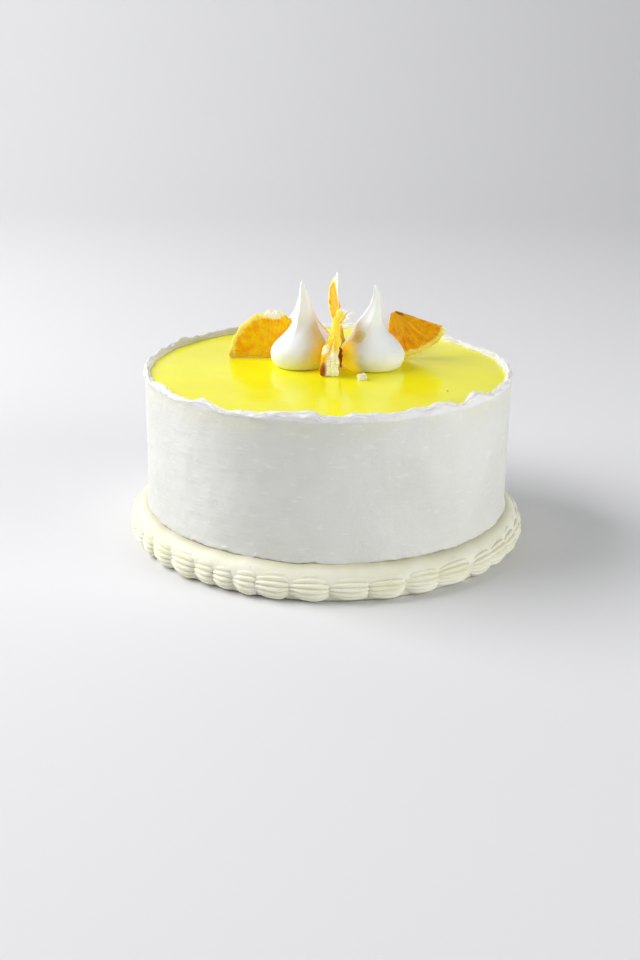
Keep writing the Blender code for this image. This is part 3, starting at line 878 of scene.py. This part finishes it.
def make_iced_cake(material, ragged):
    """The iced cake: turned outline, then an uneven side, lip and rim."""
    outline = [Vector((reach, 0.0)) * MM for reach in BOTTOM_REACHES]
    for corners, spacing in ((FOOT_OUTLINE, 3.0), (LIP_OUTLINE, 0.45), (SIDE_OUTLINE, 2.0)):
        outline += outline_in_metres(corners, spacing)[:-1]
    outline += outline_in_metres(RIM_OUTLINE, 0.42)
    outline += [Vector(point) * MM for point in BED_OUTLINE]
    piece = turned_piece("iced_cake", outline, CAKE_STEPS)

    points = read_points(piece)
    radius, angle = polar(points)
    height = points[:, 2].copy()
    degrees = np.degrees(angle)
    side = make_ripple(*SIDE_WAVES)
    lip = make_ripple(*LIP_WAVES)
    crest = make_ripple(*CREST_WAVES)

    near_side = ease(radius, *NEAR_SIDE)
    on_side = near_side * ease(height, *SIDE_BEGINS) * ease(height, *SIDE_ENDS)
    near_lip = near_side * smooth_step(1.0 - np.abs(height - LIP_HEIGHT) / (3.0 * MM))
    on_rim = near_side * ease(height, RIM_FOOT, RIM_FOOT + 3.0 * MM)
    inside = ease(radius, 104.6 * MM, 102.0 * MM) * (height > 94.0 * MM) * near_side
    outside = near_side * smooth_step(1.0 - np.abs(height - RIM_CORE[1]) / (1.8 * MM))
    outside *= radius > 104.2 * MM

    roll = np.arctan2(height - RIM_CORE[1], radius - RIM_CORE[0])
    folds = smears(angle, 90, 31, 2.2 * roll + 40.0)
    fray = smears(angle, 260, 32, 4.5 * roll + 60.0)
    nibs = smears(angle, 170, 33, 1.3 * roll + 80.0)
    creases = 1.0 - 2.0 * np.abs(smears(angle + 0.35 * roll, 60, 34, roll + 90.0))
    relief = RIM_FOLD * 0.5 * (folds + 0.6 * creases - 0.4) + RIM_FRAY * 0.5 * (fray + nibs)

    level = height / (7.0 * MM)
    smear = smears(angle + 0.012 * level, 34, 41, level)
    smear += 0.6 * smears(angle - 0.02 * level, 75, 42, 1.7 * level)
    smear += 0.4 * smears(angle + 0.01 * level, 190, 43, 4.0 * level)
    lip_fray = 0.5 * (smears(angle, 150, 51) + smears(angle, 330, 52))

    new_radius = radius + SIDE_RIPPLE * side(angle, height) * on_side
    new_radius += 0.5 * SIDE_SMEAR * smear * on_side
    new_radius += (0.4 * LIP_RAGGED * lip(angle) + 0.3 * LIP_FRAY * lip_fray) * near_lip
    new_radius += inside * (RIM_RAGGED * ragged(angle) - rim_spill(degrees))
    new_radius += on_rim * relief * np.cos(roll) * 0.8
    new_radius = np.minimum(new_radius, RIM_REACH)
    new_height = height + (LIP_RAGGED * lip(angle + 1.0) + LIP_FRAY * lip_fray) * near_lip
    new_height += on_rim * (rim_crest(degrees) + RIM_RAGGED * crest(angle))
    new_height += on_rim * relief * np.maximum(np.sin(roll), 0.0)
    new_height += outside * RIM_EDGE_WANDER * smears(angle, 48, 53)
    points[:, 0] = new_radius * np.cos(angle)
    points[:, 1] = new_radius * np.sin(angle)
    points[:, 2] = new_height
    write_points(piece, points)

    roughen(piece, "rim", on_rim)
    roughen(piece, "lip", near_lip)
    return finish_piece(piece, "root", material, ["cake_body"], 50.0)


def make_poured_glaze(material, ragged):
    """The glaze: a disc that fills the bed inside the ragged rim."""
    base = GLAZE_TOP - GLAZE_DEPTH
    reach = RIM_INNER_RADIUS
    outline = [Vector((0.0, base)), Vector((0.5 * reach, base)), Vector((reach, base))]
    outline += [Vector((reach, GLAZE_TOP - 1.2 * MM)), Vector((reach, GLAZE_TOP - 0.15 * MM))]
    for row in range(GLAZE_ROWS + 1):
        share = 1.0 - (row / GLAZE_ROWS) ** 1.3
        outline.append(Vector(((reach - 0.8 * MM) * share, GLAZE_TOP)))
    piece = turned_piece("poured_glaze", outline, CAKE_STEPS // 2)

    points = read_points(piece)
    radius, angle = polar(points)
    edge = reach - rim_spill(np.degrees(angle)) + RIM_RAGGED * ragged(angle) + 0.5 * MM
    scale = 1.0 + (edge / reach - 1.0) * ease(radius / reach, 0.8, 1.0)
    points[:, :2] *= scale[:, None]
    write_points(piece, points)
    return finish_piece(piece, "root", material, ["lemon_glaze"])


def make_cream_band(material):
    """The smooth band of cream that closes the joint under the lip."""
    outline = outline_in_metres(BAND_OUTLINE, 0.8)
    outline.append(Vector((103.4, 0.3)) * MM)
    outline.append(outline[0])
    piece = turned_piece("cream_band", outline, BAND_STEPS)
    points = read_points(piece)
    _, angle = polar(points)
    ripple = make_ripple(*BAND_WAVES)
    top = ease(points[:, 2], 9.0 * MM, 17.0 * MM)
    points[:, 2] += BAND_RIPPLE * ripple(angle) * top
    write_points(piece, points)
    roughen(piece, "cream band", top)
    return finish_piece(piece, "root", material, ["shell_border"])


def shell_arcs():
    """Start and length of every shell in degrees, once round the cake."""
    draw = random.Random(5)
    shares = [1.0 + draw.uniform(-SHELL_ARC_SPREAD, SHELL_ARC_SPREAD) for _ in range(OTHER_SHELLS)]
    rest = 360.0 - sum(FRONT_SHELL_ARCS)
    arcs = list(FRONT_SHELL_ARCS) + [rest * share / sum(shares) for share in shares]
    spans = []
    start = FRONT_SHELL_START
    for arc in arcs:
        spans.append((start, arc))
        start += arc
    return spans


def model_shell():
    """One piped shell along +X, 1 long and with a core radius of 1, from a fluted ring."""
    place, width = SHELL_OUTLINE[0]
    bpy.ops.object.select_all(action="DESELECT")
    bpy.ops.mesh.primitive_circle_add(
        vertices=SHELL_LOBES * SHELL_LOBE_POINTS, radius=1.0,
        location=(place, 0.0, 0.0), rotation=(0.0, math.pi / 2.0, 0.0)
    )
    piece = place_primitive("piped_shell")
    for vertex in piece.data.vertices:
        turn = math.atan2(vertex.co.z, vertex.co.y)
        lobe = abs(math.cos(0.5 * SHELL_LOBES * turn)) ** SHELL_LOBE_ROUNDNESS
        flute = 1.0 - SHELL_GROOVE * (1.0 - lobe)
        vertex.co.y *= flute
        vertex.co.z *= flute
    start_editing(piece)
    bpy.ops.transform.resize(value=(1.0, width, width), center_override=(place, 0.0, 0.0))
    for next_place, next_width in SHELL_OUTLINE[1:]:
        bpy.ops.mesh.extrude_region_move(TRANSFORM_OT_translate={"value": (next_place - place, 0.0, 0.0)})
        factor = next_width / width
        bpy.ops.transform.resize(value=(1.0, factor, factor), center_override=(next_place, 0.0, 0.0))
        place, width = next_place, next_width
    bpy.ops.mesh.edge_face_add()
    bpy.ops.mesh.select_all(action="DESELECT")
    stop_editing()
    for vertex in piece.data.vertices:
        vertex.select = abs(vertex.co.x - SHELL_OUTLINE[0][0]) < 0.001
    bpy.ops.object.mode_set(mode="EDIT")
    bpy.ops.mesh.edge_face_add()
    stop_editing()
    return piece


def make_shells(material):
    """Every shell of the border, each a copy of one with its own arc and size."""
    pattern = model_shell()
    along, side, rise = read_points(pattern).T
    near_start = 1.0 - ease(along, 0.0, SHELL_PINCH_SPAN)
    near_end = ease(along, 1.0 - SHELL_PINCH_SPAN, 1.0)
    tail = SHELL_TAIL_OUT * (1.0 - np.interp(along, *zip(*SHELL_OUTLINE))) * (along < 0.5)
    draw = random.Random(7)
    copies = []
    spans = shell_arcs()
    pinches = [draw.uniform(*SHELL_PINCHES) for _ in spans]
    pinches.append(pinches[0])
    for index, (start, arc) in enumerate(spans):
        reach = SHELL_RADIUS * draw.uniform(*SHELL_SIZES)
        roll = math.radians(draw.uniform(-SHELL_ROLL, SHELL_ROLL))
        lift = draw.uniform(-SHELL_LIFT, SHELL_LIFT)
        slim = 1.0 - pinches[index] * near_start - pinches[index + 1] * near_end
        out = slim * (side * math.cos(roll) - rise * math.sin(roll))
        up = slim * (side * math.sin(roll) + rise * math.cos(roll))
        radius = CORE_RADIUS + reach * (out + tail)
        height = np.maximum(CORE_HEIGHT + lift + reach * up, 0.0)
        angle = np.radians(start + arc * along)
        shell = add_object("shell", pattern.data.copy())
        write_points(shell, np.stack([radius * np.cos(angle), radius * np.sin(angle), height], axis=1))
        copies.append(shell)
    bpy.data.objects.remove(pattern, do_unlink=True)
    select_only(copies[0])
    for shell in copies:
        shell.select_set(True)
    bpy.ops.object.join()
    piece = bpy.context.object
    piece.name = "piped_shells"
    face_outwards(piece)
    roughen(piece, "shells")
    points = read_points(piece)
    points[:, 2] = np.maximum(points[:, 2], 0.0)
    write_points(piece, points)
    return finish_piece(piece, "root", material, ["shell_border"])


def make_kiss(name, material):
    """A meringue kiss: a round ball drawn up into a ridged, swaying spire."""
    centre_x, centre_y, radius, height, thinning = KISSES[name]
    outline = curve_through([(width * radius, level * height) for level, width in KISS_OUTLINE], 0.8 * MM)
    outline = [Vector((max(point[0], 0.0), max(point[1], 0.0))) for point in outline]
    piece = turned_piece("meringue_" + name, outline, KISS_STEPS)
    points = read_points(piece)
    level = points[:, 2] / height
    turn = np.degrees(polar(points)[1])
    drawn = ease(level, *RIDGED_LEVELS)
    grow = np.ones(len(points))
    for direction, facet in KISS_RIDGES[name]:
        beside = np.maximum(facet * drawn - angle_between(turn, direction + 14.0 * (level - 0.6)), 0.0)
        grow = np.maximum(grow, 1.0 / np.cos(np.radians(beside)))
    grow *= 1.0 - thinning * ease(level, *THINNED_LEVELS)
    path = curve_through([(level_at, shift / MM) for level_at, shift in KISS_SWAYS[name]], 0.2)
    shift = np.interp(level, [point[0] for point in path], [point[1] * MM for point in path])
    points[:, 0] = centre_x + shift + points[:, 0] * grow
    points[:, 1] = centre_y + points[:, 1] * grow
    points[:, 2] += GLAZE_TOP
    write_points(piece, points)
    roughen(piece, "kiss", ease(level, 0.03, 0.13) * ease(level, 0.98, 0.88))
    return finish_piece(piece, "root", material, [name], 80.0)


def slice_section(radius):
    """A closed section through the slice, from its point out to the rind and back."""
    shares, halves = zip(*SLICE_OUTLINE)
    along = [shares[0] + (shares[-1] - shares[0]) * 0.5 * (1.0 - math.cos(math.pi * step / SLICE_SHARES))
             for step in range(SLICE_SHARES + 1)]
    front = [(share * radius, float(np.interp(share, shares, halves))) for share in along]
    back = [(reach, -half) for reach, half in reversed(front)]
    return front + back


def low_part(turn):
    """1 on the low part of a slice, falling to 0 higher up."""
    return 1.0 - ease(turn, *CURLED_TURNS)


def slice_warp(name, turn, share):
    """How far a slice stands out of its plane: its rind's wave and low curl."""
    waviness, phase, bulge, curl = SLICE_WARPS[name]
    wave = waviness * share * share * np.sin(SLICE_WAVES * np.radians(turn) + math.radians(phase))
    out = bulge * ease(share, *BULGED_SHARES)
    back = curl * ease(share, BULGED_SHARES[1], 1.0)
    return wave + low_part(turn) * (out - back)


def slice_fold(name, turn, share):
    """How far a point of a slice is folded forwards, as a share of the fold."""
    if name != FOLDED_SLICE:
        return np.zeros(len(turn))
    return low_part(turn) * ease(share, *FOLDED_SHARES) * (1.0 - ease(share, FOLDED_SHARES[1], 1.0))


def slice_torn(name, turn):
    """The share of a slice's radius that is torn off at a turn."""
    if name != TORN_SLICE:
        return np.zeros(len(turn))
    return TORN_SHARE * ease(turn, *TORN_TURNS)


def slice_marks(places, turn, share, facing):
    """How strongly each vertex of a slice is marked, from 0 to 1."""
    marks = np.zeros(len(turn))
    for at_turn, at_share, on_side, width, depth, strength in places:
        mark = strength * np.exp(-((turn - at_turn) / width) ** 2 - ((share - at_share) / depth) ** 2)
        if on_side:
            mark = mark * (facing == on_side)
        marks = np.maximum(marks, mark)
    return marks


def slice_middle(name, turn, share):
    """Points of a slice's middle surface, by turn in degrees and share of the radius."""
    point_x, point_y, radius, flatness = SLICES[name]
    heading, lean, _, _ = SLICE_STANDS[name]
    along = np.array([math.cos(math.radians(heading)), math.sin(math.radians(heading)), 0.0])
    side = np.array([-along[1], along[0], 0.0])
    rise = np.array([0.0, 0.0, math.cos(math.radians(lean))]) + side * math.sin(math.radians(lean))
    reach = radius * share * (1.0 - slice_torn(name, turn))
    fold = slice_fold(name, turn, share)
    local_x = reach * np.cos(np.radians(turn)) + FOLD_FORWARDS * fold
    local_y = reach * flatness * np.sin(np.radians(turn)) - FOLD_DOWN * fold
    warp = slice_warp(name, turn, share)
    return (
        np.outer(local_x, along) + np.outer(local_y, rise) + np.outer(warp, np.cross(along, rise))
        + np.array([point_x, point_y, 0.0])
    )


def place_on_slice(name, turn, share, across):
    """Where points lie that stand off a slice's middle surface by a distance."""
    outwards = slice_middle(name, turn, share + SLOPE_STEP) - slice_middle(name, turn, share - SLOPE_STEP)
    step = math.degrees(SLOPE_STEP)
    upwards = slice_middle(name, turn + step, share) - slice_middle(name, turn - step, share)
    normal = np.cross(outwards, upwards)
    normal /= np.linalg.norm(normal, axis=1)[:, None]
    return slice_middle(name, turn, share) + normal * across[:, None]


def keep_marks(piece, name, peel, scorch, pale):
    """Store what the orange's material reads: a UV map of the peel, and marks per vertex."""
    layer = piece.data.uv_layers.new(name="peel")
    corners = np.zeros(len(piece.data.loops), dtype=int)
    piece.data.loops.foreach_get("vertex_index", corners)
    layer.data.foreach_set("uv", np.stack(peel, axis=1)[corners].ravel())
    count = len(piece.data.vertices)
    for mark, values in zip(SLICE_MARKS, (scorch, pale, SLICE_GLOWS[name])):
        attribute = piece.data.attributes.new(mark, "FLOAT", "POINT")
        attribute.data.foreach_set("value", np.broadcast_to(values, count).astype(np.float32))


def make_ruffle(index, material, lift):
    """A thin, ruffled ribbon of pith or flesh that stands off a slice."""
    name, turns, shares, distances, depth, pale, scorched = SLICE_RUFFLES[index]
    bpy.ops.object.select_all(action="DESELECT")
    bpy.ops.mesh.primitive_grid_add(x_subdivisions=RUFFLE_STEPS, y_subdivisions=RUFFLE_ROWS, size=1.0)
    piece = place_primitive(f"ruffle_{index + 1}_{name}")
    points = read_points(piece)
    run = points[:, 0] + 0.5
    out = points[:, 1] + 0.5
    turn = turns[0] + (turns[1] - turns[0]) * run
    waver = np.radians(turn)
    waves = smears(waver, 90, 80 + index) + 0.5 * smears(waver, 200, 90 + index, 2.0 * out)
    ends = ease(run, 0.0, 0.15) * ease(run, 1.0, 0.85)
    height = out * ends * (1.0 + 0.25 * smears(waver, 120, 100 + index))
    share = shares[0] + (shares[1] - shares[0]) * height
    across = distances[0] + (distances[1] - distances[0]) * height + depth * out * ends * waves
    points = place_on_slice(name, turn, share, across)
    points[:, 2] = np.maximum(points[:, 2] + lift, GLAZE_TOP + GAP)
    write_points(piece, points)
    apply_modifier(piece, "SOLIDIFY", thickness=RUFFLE_THICKNESS, offset=0.0)
    face_outwards(piece, has_seams=True)
    segment = read_points(piece)[:, 1] / RUFFLE_STREAKS
    keep_marks(piece, name, (segment, np.full(len(segment), 0.8)), scorched, pale)
    return finish_piece(piece, "root", material, [name])


def make_slice(name, material):
    """A sector of a dried orange slice, turned about its point and then roughened."""
    radius = SLICES[name][2]
    _, _, start, stop = SLICE_STANDS[name]
    first = [
        (reach * math.cos(math.radians(start)), reach * math.sin(math.radians(start)), across)
        for reach, across in slice_section(radius)
    ]
    piece = draw_line("dried_" + name, first, is_closed=True)
    steps = round((stop - start) / SLICE_TURN_STEP)
    turn_line(piece, steps, stop - start)
    section = len(first)
    count = len(piece.data.vertices)
    select_only(piece)
    for members in (range(section), range(count - section, count)):
        for vertex in piece.data.vertices:
            vertex.select = vertex.index in members
        bpy.ops.object.mode_set(mode="EDIT")
        bpy.ops.mesh.select_mode(type="VERT")
        bpy.ops.mesh.edge_face_add()
        bpy.ops.mesh.inset(thickness=0.5 * MM, depth=0.3 * MM)
        bpy.ops.mesh.select_all(action="DESELECT")
        stop_editing()
    face_outwards(piece)

    points = read_points(piece)
    turn = np.degrees(polar(points)[1])
    turn = np.where(turn < start - 9.0, turn + 360.0, turn)
    turn = np.where(turn > stop + 9.0, turn - 360.0, turn)
    share = polar(points)[0] / radius
    facing = np.sign(points[:, 2])
    half = np.abs(points[:, 2])

    segment = (turn + SEGMENT_SHIFT) / SEGMENT_DEGREES
    into = np.abs((segment % 1.0) - 0.5) * 2.0
    hollow = (1.0 - into ** 4) * ease(share, 0.12, 0.27) * ease(share, 0.88, 0.82)
    seed = 60 + list(SLICES).index(name)
    waver = np.radians(turn)
    torn = slice_torn(name, turn)
    pale = slice_marks(PALE_PLACES[name], turn, share, facing)
    frill = ease(share, 0.80, 0.90)
    ruffle = smears(waver, 40, seed) + 0.6 * smears(waver, 110, seed + 10, 2.0 * share)
    nibs = smears(waver, 70, seed + 20) + smears(waver, 150, seed + 30)
    rim_wave = RIND_FRILL * frill * (1.0 + 1.5 * pale * (turn > 45.0)) * ruffle
    tip = ease(turn, *TIP_TURNS) * (name == TIPPED_SLICE)
    body = (1.0 - TIP_THINNING * tip) * np.maximum(half - SEGMENT_DEPTH * hollow, THINNEST_HALF)
    across = facing * body + rim_wave
    uneven = 1.0 + frill * nibs * (0.008 + 0.25 * torn + 0.02 * pale * (turn > 45.0))
    place = place_on_slice(name, turn, share * uneven, across)
    lift = GLAZE_TOP + GAP - place[:, 2].min()
    place[:, 2] += lift
    write_points(piece, place)

    scorch = slice_marks(SCORCHES[name], turn, share, facing)
    keep_marks(piece, name, (segment, share * (1.0 - 1.4 * torn)), scorch, pale)
    for index, row in enumerate(SLICE_RUFFLES):
        if row[0] == name:
            make_ruffle(index, material, lift)

    roughen(piece, "flesh", ease(share, 0.9, 0.8) * ease(share, 0.08, 0.18))
    roughen(piece, "slice")
    return finish_piece(piece, "root", material, [name])


def make_crumb(material):
    """A broken corner of meringue on the glaze."""
    bpy.ops.object.select_all(action="DESELECT")
    place = (CRUMB_PLACE[0], CRUMB_PLACE[1], GLAZE_TOP + 0.45 * CRUMB_SIZE[2])
    bpy.ops.mesh.primitive_cube_add(size=1.0, location=place, rotation=(0.12, -0.08, 0.5), scale=CRUMB_SIZE)
    piece = place_primitive("meringue_crumb")
    start_editing(piece)
    bpy.ops.mesh.bevel(offset=0.6 * MM, segments=2)
    bpy.ops.mesh.subdivide(number_cuts=4)
    stop_editing()
    roughen(piece, "crumb")
    return finish_piece(piece, "root", material)


def make_speck(material):
    """A dark crisp speck on the glaze."""
    bpy.ops.object.select_all(action="DESELECT")
    place = (SPECK_PLACE[0], SPECK_PLACE[1], GLAZE_TOP + 0.3 * SPECK_SIZE[2])
    bpy.ops.mesh.primitive_ico_sphere_add(subdivisions=3, radius=0.5, location=place, scale=SPECK_SIZE)
    piece = place_primitive("crisp_speck")
    roughen(piece, "speck")
    return finish_piece(piece, "root", material)


# Studio: floor and backdrop, lights and camera.

def make_backdrop():
    """A pale floor that curves up behind the cake."""
    outline = [(-4.0, 0.0), (-1.0, 0.0), (FLOOR_BEND_AT, 0.0)]
    for step in range(1, 10):
        turn = math.radians(10.0 * step)
        height = FLOOR_BEND - FLOOR_BEND * math.cos(turn)
        outline.append((FLOOR_BEND_AT + FLOOR_BEND * math.sin(turn), height))
    outline.append((FLOOR_BEND_AT + FLOOR_BEND, FLOOR_TOP))
    piece = draw_line("floor", [(-FLOOR_HALF, across, height - 0.05 * MM) for across, height in outline])
    start_editing(piece)
    bpy.ops.mesh.extrude_region_move(TRANSFORM_OT_translate={"value": (2.0 * FLOOR_HALF, 0.0, 0.0)})
    stop_editing()
    bpy.ops.object.shade_smooth()
    material, place = new_material("pale_floor", 0.75, Specular_IOR_Level=0.2)
    cloud = noise(place, 2.0, 2.0)
    link(mix_colours(cloud, (0.82, 0.82, 0.835), (0.80, 0.80, 0.815)), "Base Color")
    piece.data.materials.append(material)


def make_area_light(name, place, target, size, power, colour):
    """A soft square light that faces its target."""
    data = bpy.data.lights.new(name, "AREA")
    data.shape = "SQUARE"
    data.size = size
    data.energy = power
    data.color = colour
    lamp = add_object(name, data)
    lamp.location = place
    lamp.rotation_mode = "QUATERNION"
    lamp.rotation_quaternion = (Vector(target) - Vector(place)).to_track_quat("-Z", "Y")


def make_studio():
    """The floor, the lamps and the light all round."""
    make_backdrop()
    for lamp in LAMPS:
        make_area_light(*lamp)
    world = bpy.data.worlds.new("studio")
    world.use_nodes = True
    back = world.node_tree.nodes["Background"]
    back.inputs["Color"].default_value = (0.96, 0.98, 1.0, 1.0)
    back.inputs["Strength"].default_value = WORLD_STRENGTH
    bpy.context.scene.world = world
    bpy.context.scene.view_settings.view_transform = "Standard"


def make_camera():
    """The camera at the photograph's viewing angle."""
    data = bpy.data.cameras.new("camera")
    data.lens = CAMERA_LENS
    data.sensor_width = SENSOR_WIDTH
    data.sensor_fit = "AUTO"
    camera = add_object("camera", data)
    turn = Matrix.Rotation(math.radians(CAMERA_TURN), 4, "Z")
    tilt = Matrix.Rotation(math.radians(90.0 - CAMERA_DOWN), 4, "X")
    roll = Matrix.Rotation(math.radians(CAMERA_ROLL), 4, "Z")
    camera.matrix_world = Matrix.Translation(CAMERA_PLACE) @ turn @ tilt @ roll
    bpy.context.scene.camera = camera


def build():
    """Make every piece, the studio and the camera."""
    tone = make_uneven_tone()
    ragged = make_ripple(*RIM_WAVES)
    cream = make_cream(tone)
    meringue = make_meringue(tone)
    orange = make_orange_finish()
    make_iced_cake(make_icing(tone), ragged)
    make_poured_glaze(make_glaze_finish(tone), ragged)
    make_cream_band(cream)
    make_shells(cream)
    for name in KISSES:
        make_kiss(name, meringue)
    for name in SLICES:
        make_slice(name, orange)
    make_crumb(make_crumb_finish(tone))
    make_speck(make_burnt_bit())
    make_studio()
    make_camera()


build()
